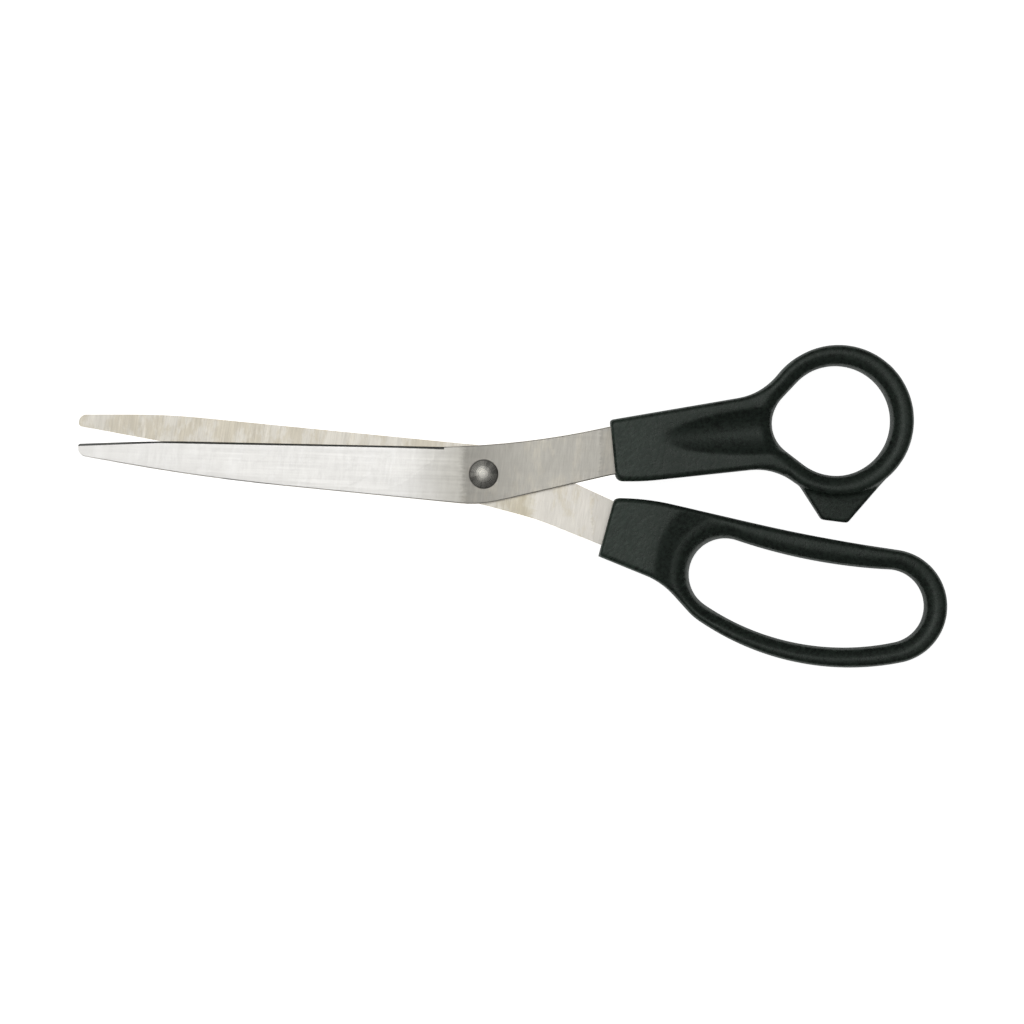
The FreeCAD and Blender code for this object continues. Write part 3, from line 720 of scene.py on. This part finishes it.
@dataclass
class Handle:
    """What both handles share: a thick slab with a hole, rounded over and recast."""

    pivot: Vector
    name: str = "handle"
    half_thickness: float = 4.8
    outer_round: float = 1.15     # rounding of the outer edges
    hole_round: float = 0.9       # rounding of the hole's very edge
    hole_slope: float = 3.2       # width of the slope that runs down to the hole
    hole_depth: float = 1.45      # and how far it falls
    loop_slope: float = 2.2       # width of the gentle slope from a loop's crest to its outer edge
    loop_fall: float = 0.27       # its steepness at that edge
    loop_end: float = 8.0         # how far from the hole a loop has ended
    loop_fade: float = 3.0        # and over what way it fades
    front_round: float = 0.4      # rounding where the blade comes out
    thinnest: float = 0.1         # the least share of the thickness that is left anywhere
    grain: float = 0.3            # size of the recast faces
    slab_step: float = 0.5        # between two points of an outline that is extruded
    edge_step: float = 0.12       # and of one that distances are taken from
    front_top: Vector = starting_at(31.35, 13.4)
    front_bottom: Vector = starting_at(32.85, -1.8)

    def outer(self) -> Outline:
        """Gives the outline of the grip and its loop."""
        raise NotImplementedError

    def hole(self) -> Outline:
        """Gives the outline of the hole."""
        raise NotImplementedError

    def half_height(self, at: Vector, from_edge: float, from_hole: float) -> float:
        """Gives the height of the face above the middle plane.

        Args:
            at: A point in the plane of the shears; not used here.
            from_edge: Its distance from the outer edge.
            from_hole: Its distance from the hole.

        Returns:
            The height, not yet rounded at the front end.
        """
        into_hole = max(0.0, 1.0 - max(0.0, from_hole) / self.hole_slope)
        to_edge = max(0.0, self.loop_slope - max(0.0, from_edge))
        in_loop = min(1.0, max(0.0, (self.loop_end - from_hole) / self.loop_fade))
        height = self.half_thickness - self.drop(from_edge, self.outer_round)
        height -= self.drop(from_hole, self.hole_round) + self.hole_depth * into_hole**2
        return height - in_loop * self.loop_fall * to_edge**2 / (2 * self.loop_slope)

    def slab(self, name: str, outline: Outline, spare: float = 0.0) -> bpy.types.Object:
        """Models a slab as thick as the handle, and spare millimetres more on both sides."""
        half = self.half_thickness + spare
        return Bench.slab(name, outline.points(self.slab_step), -half, half)

    def blank(self) -> bpy.types.Object:
        """Models the slab that the handle is shaped from."""
        return self.slab(self.name, self.outer())

    @staticmethod
    def tree(points: list[Vector]) -> KDTree:
        """Sorts points so that the nearest is quickly found.

        Args:
            points: The points, in the plane.

        Returns:
            The sorted points.
        """
        tree = KDTree(len(points))
        for i, point in enumerate(points):
            tree.insert((point.x, point.y, 0.0), i)
        tree.balance()
        return tree

    @staticmethod
    def drop(distance: float, radius: float) -> float:
        """Works out how far the face falls at a rounded edge.

        Args:
            distance: How far inside the edge the point lies, negative outside it.
            radius: The radius of the rounding, a quarter round.

        Returns:
            The fall, which goes on steeply outside the edge.
        """
        if distance >= radius:
            return 0.0
        if distance < 0.0:
            return radius - SIDE_STEEPNESS * distance
        return radius - math.sqrt(radius**2 - (radius - distance) ** 2)

    def on_front(self, point: Vector) -> bool:
        """Tells whether a point of the outline lies on the crisp front end.

        Args:
            point: The point.

        Returns:
            Whether it does, leaving out the end's own two corners.
        """
        way = self.front_bottom - self.front_top
        share = (point - self.front_top).dot(way) / way.length_squared
        return 0.02 < share < 0.98 and (self.front_top + way * share - point).length < 0.05

    def round_over(self, piece: bpy.types.Object) -> None:
        """Rounds the edges and sinks the scoops, by drawing points towards the middle plane.

        Args:
            piece: The handle, cut out and recast.
        """
        line = self.outer().points(self.edge_step)
        long_edges = self.tree([p for p in line if not self.on_front(p)])
        hole_edges = self.tree(self.hole().points(self.edge_step))
        way = (self.front_bottom - self.front_top).normalized()
        inwards = Vector((-way.y, way.x))
        for vertex in piece.data.vertices:
            flat = Vector((vertex.co.x, vertex.co.y, 0.0))
            height = self.half_height(flat.xy, long_edges.find(flat)[2], hole_edges.find(flat)[2])
            height -= self.drop(abs((flat.xy - self.front_top).dot(inwards)), self.front_round)
            vertex.co.z *= max(self.thinnest, height / self.half_thickness)

    def build(self) -> bpy.types.Object:
        """Models the handle.

        Returns:
            The finished piece, at its place in the frame.
        """
        piece = self.blank()
        Bench.join_solids(piece, self.slab("hole", self.hole(), spare=2.0), "DIFFERENCE")
        Bench.recast(piece, self.grain)
        self.round_over(piece)
        Bench.recast(piece, self.grain)
        Bench.soften(piece, share=0.5, passes=3)
        Bench.set_down(piece, self.pivot)
        return piece


@dataclass
class ThumbHandle(Handle):
    """The handle with the round ring and the flat stop, on the front blade."""

    name: str = "thumb_grip_and_ring"
    underside: Vector = starting_at(40.05, -1.8)
    under_slope: float = 6.1
    grip_slope: float = 9.7
    ring_at: Vector = starting_at(87.85, 13.3)
    ring_radius: float = 18.65
    ring_wall: float = 5.0
    upper_neck: float = 17.0
    lower_neck: float = 15.0
    nose_radius: float = 9.0
    nose_at: Vector = starting_at(80.5, 12.65)
    hole_shift: Vector = starting_at(-0.45, -0.1)   # of its round end, from the ring's middle
    bottom_corner: float = 1.8
    stop_length: float = 25.4
    stop_width: float = 6.35
    stop_root_half: float = 3.15  # half thickness of the stop at the ring
    stop_tip_half: float = 2.65   # and at its end
    stop_round: float = 0.55
    stop_flank_slope: float = -57.5
    stop_end_slope: float = -7.3
    stop_aside: float = 2.3       # how far its end lies to the right of the ring's middle
    stop_sector: tuple[float, float] = (-134.0, -41.5)  # where it hangs from the ring, in degrees
    stop_corners: tuple[float, float] = (0.8, 0.6)      # the rounding of its left and right corner
    stop_overlap: float = 0.3     # how far into the ring it is joined on the right
    stop_step: float = 0.15       # between two points of the rim that distances are taken from
    stop_blend: float = 1.5       # how far into the ring its hollow reaches
    stop_ease: float = 0.18       # how soft that hollow is
    dish_at: Vector = starting_at(73.5, 11.0)
    dish_slope: float = 4.5
    dish_depth: float = 1.95
    dish_half_width: float = 5.7
    dish_length: float = 28.5
    dish_ease: float = 0.1
    belly_round: float = 60.0     # the bend of the grip's underside
    stop_rim: list[Vector] = field(init=False, default_factory=list)

    def outer(self) -> Outline:
        """Draws the grip and its ring.

        Returns:
            Their outline.
        """
        ring = Turn(self.ring_at, wrap=self.ring_radius)
        under = meet(self.underside, self.under_slope, self.ring_at, 90)
        lower = disc_in_neck(under, self.under_slope, ring, self.lower_neck, above=False)
        upper = disc_in_neck(self.front_top, self.grip_slope, ring, self.upper_neck, above=True)
        return Outline((Turn(self.front_bottom, blend=self.bottom_corner),
                        Turn(self.underside, blend=self.belly_round),
                        Turn(lower, wrap=-self.lower_neck), ring,
                        Turn(upper, wrap=-self.upper_neck), Turn(self.front_top)))

    def hole(self) -> Outline:
        """Gives the thumb hole: a large round end, and a narrower one towards the blades."""
        large = Turn(self.ring_at + self.hole_shift, wrap=self.ring_radius - self.ring_wall)
        return Outline((large, Turn(self.nose_at, wrap=self.nose_radius)))

    def stop(self) -> Outline:
        """Draws the stop.

        Returns:
            Its outline, which ends in the middle of the ring's wall.
        """
        left, right = self.stop_sector
        round_left, round_right = self.stop_corners
        end_right = self.ring_at + Vector((self.stop_aside, -self.stop_length))
        end_left = end_right - unit(self.stop_end_slope) * self.stop_width
        in_wall = self.ring_radius - self.ring_wall / 2
        root = meet(end_left, self.stop_flank_slope, self.ring_at + unit(left) * in_wall, left)
        return Outline((Turn(root), Turn(end_left, blend=round_left), Turn(end_right, blend=round_right),
                        Turn(self.ring_at + unit(right) * (self.ring_radius - self.stop_overlap)),
                        Turn(self.ring_at, wrap=-in_wall)))

    def blank(self) -> bpy.types.Object:
        """Models the slab that the handle is shaped from.

        Returns:
            The slab, with the stop joined on.
        """
        in_ring = self.ring_radius - self.stop_blend
        rim = self.stop().points(self.stop_step)
        self.stop_rim = [p for p in rim if (p - self.ring_at).length > in_ring]
        piece = super().blank()
        Bench.join_solids(piece, self.slab("stop", self.stop()), "UNION")
        return piece

    def dish(self, at: Vector) -> float:
        """Works out the long dish, a barrel's trace, deepest at the thumb hole.

        Args:
            at: A point in the plane of the shears.

        Returns:
            The dish's depth there.
        """
        belly = (self.dish_half_width**2 / self.dish_depth + self.dish_depth) / 2
        long_radius = (self.dish_length**2 + self.dish_depth**2) / (2 * self.dish_depth)
        from_deepest = at - self.dish_at
        if from_deepest.x > self.ring_radius / 2:
            return 0.0
        along = min(0.0, from_deepest.dot(unit(self.dish_slope)))
        aside = from_deepest.dot(unit(self.dish_slope + 90))
        radius = belly - long_radius + math.sqrt(max(0.0, long_radius**2 - along**2))
        if abs(aside) >= radius:
            return 0.0
        return soft_part(math.sqrt(radius**2 - aside**2) - (belly - self.dish_depth), self.dish_ease)

    def half_height(self, at: Vector, from_edge: float, from_hole: float) -> float:
        """Gives the height of the face above the middle plane: the rounded slab less its dish,
        and past the ring, the lower stop, which the ring runs into with a soft hollow.

        Args:
            at: A point in the plane of the shears.
            from_edge: Its distance from the outer edge of the grip and ring.
            from_hole: Its distance from the hole.

        Returns:
            The height, not yet rounded at the front end.
        """
        way = at - self.ring_at
        past_ring = way.length - self.ring_radius
        left, right = self.stop_sector
        if not left < heading(way) < right or past_ring <= -self.stop_blend:
            return super().half_height(at, from_edge, from_hole) - self.dish(at)
        ring = super().half_height(at, -past_ring, from_hole)
        reach = self.stop_length - self.ring_radius
        stop = self.stop_root_half + (self.stop_tip_half - self.stop_root_half) * past_ring / reach
        stop -= self.drop(min((at - p).length for p in self.stop_rim), self.stop_round)
        return stop + soft_part(ring - stop, self.stop_ease)


@dataclass
class FingerHandle(Handle):
    """The handle with the long loop, lower than its grip, on the back blade."""

    name: str = "finger_grip_and_loop"
    front_top: Vector = starting_at(32.45, -5.95)
    front_bottom: Vector = field(default_factory=lambda: Vector((32.45, -5.95)) + unit(-105.3) * 15.0)
    grip_top: Vector = starting_at(40.05, -5.95)
    near_at: Vector = starting_at(59.9, -24.95)
    far_at: Vector = starting_at(100.2, -32.8)
    near_radius: float = 9.0
    far_radius: float = 9.15
    upper_curve: float = 139.0
    lower_curve: float = 61.3
    wall: float = 5.0
    bar_wall: float = 5.7
    under_slope: float = -22.2
    waist_slope: float = -48.0
    top_corner: float = 1.3
    loop_step: float = 1.1        # how much lower the loop's crest is than the flat of the grip
    crest_radius: float = 13.8    # that crest, from the middle of the hole's near end
    tube_round: float = 9.0       # how gently the loop falls away inside its crest
    ramp_start: float = 17.5      # where the flat begins to run down
    ramp_lean: float = 2.8        # and how much farther out it begins above the loop
    crest_lean: float = 0.5       # how much farther out the crest lies there
    crest_half: float = 0.2       # half the width of the crest's level part
    top_ease: float = 0.06        # how softly the ramp begins
    foot_ease: float = 0.03       # and ends
    all_loop: float = 5.0         # how far along X from that middle all of the face is the loop's
    turns_loop: float = 8.0       # over what way it becomes so
    lower_wall: float = 4.5
    near_shift: Vector = starting_at(1.35, 0.15)
    far_shift: Vector = starting_at(0.5, 0.0)
    waist_round: float = 19.0
    bar_round: float = 420.0
    grip_round: float = 60.0

    def ends(self) -> tuple[Turn, Turn]:
        """Gives the near and far ends of the finger hole."""
        return Turn(self.near_at, wrap=self.near_radius), Turn(self.far_at, wrap=self.far_radius)

    def hole(self) -> Outline:
        """Draws the finger hole.

        Returns:
            Its outline: four arcs that touch, the upper one bulging into the hole.
        """
        near, far = self.ends()
        upper = Turn(disc_touching(near, far, self.upper_curve, enclosing=False), wrap=-self.upper_curve)
        lower = Turn(disc_touching(near, far, self.lower_curve, enclosing=True), wrap=self.lower_curve)
        return Outline((near, lower, far, upper))

    def outer(self) -> Outline:
        """Draws the grip and its loop.

        Returns:
            Their outline.
        """
        near, far = self.ends()
        upper = disc_touching(near, far, self.upper_curve, enclosing=False)
        middle = (near.at + far.at) * 0.5 - upper
        knee = upper + middle.normalized() * (self.upper_curve - self.bar_wall)
        near = Turn(near.at + self.near_shift, wrap=near.wrap + self.wall)
        far = Turn(far.at + self.far_shift, wrap=far.wrap + self.wall)
        around = self.lower_curve + self.lower_wall
        lower = Turn(disc_touching(near, far, around, enclosing=True), wrap=around)
        waist_side = near.at + unit(self.waist_slope - 90) * near.wrap
        waist = meet(self.front_bottom, self.under_slope, waist_side, self.waist_slope)
        return Outline((Turn(self.front_bottom), Turn(waist, blend=self.waist_round), near, lower, far,
                        Turn(knee, blend=self.bar_round), Turn(self.grip_top, blend=self.grip_round),
                        Turn(self.front_top, blend=self.top_corner)))

    def step_down(self, at: Vector) -> float:
        """Works out the step from the grip down to the loop: a ramp runs down to the crest of the
        loop, and the loop falls away again inside its crest.

        Args:
            at: A point in the plane of the shears.

        Returns:
            How much lower than the flat of the grip the face is there.
        """
        way = at - self.near_at
        reach = way.length
        upwards = max(0.0, way.y / reach) ** 2 if way.x < 0.0 else 1.0
        starts = self.ramp_start + self.ramp_lean * upwards
        crest = self.crest_radius + self.crest_lean * upwards
        ramp = soft_part((starts - reach) * self.loop_step / (starts - crest), self.top_ease)
        ramp -= soft_part(ramp - self.loop_step, self.foot_ease)
        inside = max(0.0, crest - self.crest_half - reach) ** 2 / (2 * self.tube_round)
        on_loop = min(1.0, max(0.0, (way.x + self.turns_loop - self.all_loop) / self.turns_loop))
        return ramp + inside + on_loop * (self.loop_step - ramp - inside)

    def half_height(self, at: Vector, from_edge: float, from_hole: float) -> float:
        """Gives the height of the face above the middle plane: the rounded slab less the step."""
        return super().half_height(at, from_edge, from_hole) - self.step_down(at)


# ---------------------------------------------------------------- rivet


@dataclass
class PivotRivet:
    """The rivet: a low domed head with turned rings, a shank, and a tail spread over its washer."""

    pivot: Vector
    head_radius: float = 3.65
    seat: float = 1.9
    rim: float = 0.4
    dome: float = 1.15
    shank_radius: float = 2.0
    tail_radius: float = 2.9
    tail_height: float = 0.9
    under_washer: float = -2.45
    rings: int = 9
    ring_depth: float = 0.035
    ring_points: int = 4          # of the profile, for each ring
    tail_points: int = 8
    rim_bevel: float = 0.07
    around: int = 96

    def head_profile(self) -> list[tuple[float, float]]:
        """Draws the head.

        Returns:
            Its radii and heights, from its seat up to the middle of its dome.
        """
        sphere = (self.head_radius**2 + self.dome**2) / (2 * self.dome)
        top = self.seat + self.rim + self.dome
        profile = [(self.head_radius, self.seat), (self.head_radius, self.seat + self.rim * 0.85),
                   (self.head_radius - self.rim_bevel, self.seat + self.rim)]
        steps = self.rings * self.ring_points
        for k in range(1, steps):
            radius = (self.head_radius - self.rim_bevel) * (1 - k / steps)
            height = top - (sphere - math.sqrt(sphere**2 - radius**2))
            groove = self.ring_depth * (0.5 - 0.5 * math.cos(2 * math.pi * k / self.ring_points))
            profile.append((radius, height - groove))
        return profile

    def tail_profile(self) -> list[tuple[float, float]]:
        """Draws the shank and the tail.

        Returns:
            Their radii and heights, from the seat downwards.
        """
        profile = [(self.shank_radius, self.seat), (self.shank_radius, self.under_washer),
                   (self.tail_radius, self.under_washer)]
        for k in range(1, self.tail_points):
            turn = math.pi / 2 * k / self.tail_points
            height = self.under_washer - self.tail_height * math.sin(turn)
            profile.append((self.tail_radius * math.cos(turn), height))
        return profile

    def turned(self, name: str, profile: list[tuple[float, float]]) -> bpy.types.Object:
        """Models a turned solid: a disc extruded and drawn in or out, ring by ring.

        Args:
            name: The solid's name.
            profile: Radii and heights, the first that of the disc.

        Returns:
            The solid, closed, with its faces outwards.
        """
        bpy.ops.object.select_all(action="DESELECT")
        radius, height = profile[0]
        bpy.ops.mesh.primitive_circle_add(vertices=self.around, radius=radius, fill_type="NGON",
                                          location=(0, 0, height))
        piece = bpy.context.object
        piece.name = piece.data.name = name
        bpy.ops.object.transform_apply(location=True, rotation=True, scale=True)
        bpy.ops.object.mode_set(mode="EDIT")
        bpy.ops.mesh.select_all(action="SELECT")
        for next_radius, next_height in profile[1:]:
            bpy.ops.mesh.extrude_region_move(TRANSFORM_OT_translate={"value": (0, 0, next_height - height)})
            scale = next_radius / radius
            bpy.ops.transform.resize(value=(scale, scale, 1), center_override=(0, 0, next_height))
            radius, height = next_radius, next_height
        bpy.ops.mesh.poke()
        bpy.ops.mesh.select_all(action="SELECT")
        bpy.ops.mesh.normals_make_consistent(inside=False)
        bpy.ops.object.mode_set(mode="OBJECT")
        return piece

    def build(self) -> bpy.types.Object:
        """Models the rivet.

        Returns:
            The finished piece, at its place in the frame.
        """
        head = self.turned("pivot_rivet_turned", self.head_profile())
        shank = [(self.shank_radius, self.seat + 0.2)] + self.tail_profile()[1:]
        Bench.join_solids(head, self.turned("shank", shank), "UNION")
        Bench.set_down(head, self.pivot, sharp=40.0)
        return head


# ---------------------------------------------------------------- the shears and the studio


@dataclass
class Shears:
    """The whole tool: which piece stands for which part of the frame, and in which finish."""

    nodes: dict[str, bpy.types.Object]
    pivot: Vector = field(init=False)

    def __post_init__(self) -> None:
        """Finds the pivot and the middle plane in the frame."""
        low, high = (Vector(c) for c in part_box("pivot_rivet"))
        grip_low, grip_high = (Vector(c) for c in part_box("thumb_handle"))
        middle = (low + high) / 2
        self.pivot = Vector((middle.x, middle.y, (grip_low.z + grip_high.z) / 2))

    def blades(self) -> None:
        """Dresses the two blades and the washer, which are the frame's own."""
        front = BladeSteel(
            "front_blade_steel", slope=-2.0,
            ground=SteelFace(
                tone=(0.885, 0.873, 0.843), patch=(0.915, 0.903, 0.877), patch_share=0.3,
                lay=Lay.ALONG, line_width=0.00035, line_length=0.03, line_contrast=0.012),
            rolled=SteelFace(
                tone=(0.56, 0.54, 0.487), patch=(0.615, 0.585, 0.513), patch_share=0.35,
                lay=Lay.ACROSS, line_width=0.0003, line_length=0.004, line_contrast=0.07),
            painted_shade_starts=self.pivot.x - 0.0225, ground_ends=self.pivot.x - 0.0052, painted_shade_tone=0.70,
            cut_side=1.0, bevel_ends=self.pivot.x - 0.0094, heel_starts=self.pivot.x + 0.0285,
            rolled_tone=0.68)
        back = BladeSteel(
            "back_blade_steel", slope=-4.5,
            ground=SteelFace(
                tone=(0.695, 0.644, 0.535), patch=(0.785, 0.75, 0.67), patch_share=0.45,
                lay=Lay.ACROSS, line_width=0.0003, line_length=0.007, line_contrast=0.075),
            rolled=SteelFace(
                tone=(0.87, 0.833, 0.76), patch=(0.80, 0.747, 0.633), patch_share=0.15,
                lay=Lay.ACROSS, line_width=0.00028, line_length=0.005, line_contrast=0.06),
            painted_shade_starts=self.pivot.x, ground_ends=self.pivot.x + 0.012, painted_shade_tone=1.0,
            cut_side=-1.0, bevel_ends=self.pivot.x - 0.0094, heel_starts=self.pivot.x + 0.0265,
            heel_tone=0.90)
        washer = TurnedSteel("washer_steel", self.pivot, radius=0.0044, pitch=0.00022,
                             colour=(0.5, 0.49, 0.46))
        for name, finish in (("front_blade", front), ("back_blade", back), ("rivet_washer", washer)):
            dress(self.nodes[name], finish.material())
            LOG.info("%s: the frame's own part, dressed", name)

    def handles(self) -> None:
        """Models the two handles."""
        plastic = MouldedPlastic("moulded_dark_nylon", (0.0115, 0.0180, 0.0135), roughness=0.27,
                                 rubbed_to=self.pivot.x + 0.047).material()
        for handle, node, body in ((ThumbHandle(self.pivot), "thumb_handle", "front_half"),
                                   (FingerHandle(self.pivot), "finger_handle", "back_half")):
            piece = handle.build()
            dress(piece, plastic)
            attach(piece, body)
            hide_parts(node)
            LOG.info("%s: %d faces", piece.name, len(piece.data.polygons))

    def rivet(self) -> None:
        """Models the rivet."""
        piece = PivotRivet(self.pivot).build()
        steel = TurnedSteel("turned_rivet_steel", self.pivot, radius=0.00365, pitch=0.00016,
                            colour=(0.88, 0.86, 0.785), roughness=0.17)
        dress(piece, steel.material())
        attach(piece, "back_half")
        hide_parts("pivot_rivet")
        LOG.info("%s: %d faces", piece.name, len(piece.data.polygons))


@dataclass
class Studio:
    """A white table under soft cloths of light and a small lamp, and a camera straight above."""

    view_centre: Vector = starting_at(-0.000135, -0.001405, 0.0055)
    view_width: float = 0.254
    lens: float = 135.0
    sensor: float = 36.0
    surround: Colour = (0.12, 0.12, 0.12)
    towards: Vector = starting_at(-0.10, 0.12, 1.0)
    core: float = 0.52           # brightness of each of the two cloths of the overhead light
    core_size: float = 0.46
    outer_core_size: float = 0.66
    spill: float = 0.15          # brightness of the wide cloth round it
    spill_size: float = 1.5
    spark: float = 1.7           # brightness of the small lamp beside it
    spark_size: float = 0.07
    floor_glow: float = 0.88

    def light(self, name: str, at: Vector, size: float, brightness: float) -> None:
        """Hangs a square soft light that faces the shears.

        Args:
            name: The light's name.
            at: The light's place.
            size: The length of its side.
            brightness: The brightness of its face, where white paper in full light is 1.
        """
        lamp = bpy.data.lights.new(name, "AREA")
        lamp.shape, lamp.size = "SQUARE", size
        lamp.energy = brightness * math.pi * size**2
        holder = bpy.data.objects.new(name, lamp)
        holder.location = at
        holder.rotation_euler = (self.view_centre - at).to_track_quat("-Z", "Y").to_euler()
        holder.visible_camera = False
        bpy.context.scene.collection.objects.link(holder)

    def lights(self) -> None:
        """Hangs the overhead lights, one behind the other, and sets the dim surround."""
        above = self.view_centre + self.towards
        self.light("overhead_core", above, self.core_size, self.core)
        self.light("overhead_outer_core", above * 1.01, self.outer_core_size, self.core)
        self.light("overhead_spill", above * 1.02, self.spill_size, self.spill)
        self.light("spark", above * 0.98, self.spark_size, self.spark)
        world = bpy.data.worlds.new("studio")
        bpy.context.scene.world = world
        world.use_nodes = True
        world.node_tree.nodes["Background"].inputs[0].default_value = (*self.surround, 1.0)

    def floor(self) -> None:
        """Lays the table top."""
        bpy.ops.object.select_all(action="DESELECT")
        bpy.ops.mesh.primitive_plane_add(size=4.0, location=(0, 0, -0.0002))
        table = bpy.context.object
        table.name = table.data.name = "table_top"
        bpy.ops.object.transform_apply(location=True, rotation=True, scale=True)
        sheet = NodeSheet.named("white_table")
        grain = sheet.noise(sheet.place((0.004,) * 3), detail=3.0)
        tone = sheet.blend(grain, (0.90, 0.90, 0.90), (0.93, 0.93, 0.93))
        dress(table, sheet.finish(Base_Color=tone, Roughness=0.9, Emission_Color=(1.0, 1.0, 1.0, 1.0),
                                  Emission_Strength=self.floor_glow))

    def camera(self) -> None:
        """Sets the camera straight above the shears."""
        camera = bpy.data.cameras.new("camera")
        camera.lens, camera.sensor_width = self.lens, self.sensor
        camera.clip_start, camera.clip_end = 0.01, 20.0
        holder = bpy.data.objects.new("camera", camera)
        holder.location = self.view_centre + Vector((0, 0, self.view_width * self.lens / self.sensor))
        bpy.context.scene.collection.objects.link(holder)
        bpy.context.scene.camera = holder
        bpy.context.scene.view_settings.view_transform = "Standard"


def main() -> None:
    """Builds the shears on their frame, and the studio round them."""
    logging.basicConfig(level=logging.INFO, format="%(name)s: %(message)s")
    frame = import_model()
    studio = Studio()
    studio.camera()
    studio.lights()
    studio.floor()
    shears = Shears(nodes=frame["nodes"])
    shears.blades()
    shears.handles()
    shears.rivet()


if __name__ == "__main__":
    main()
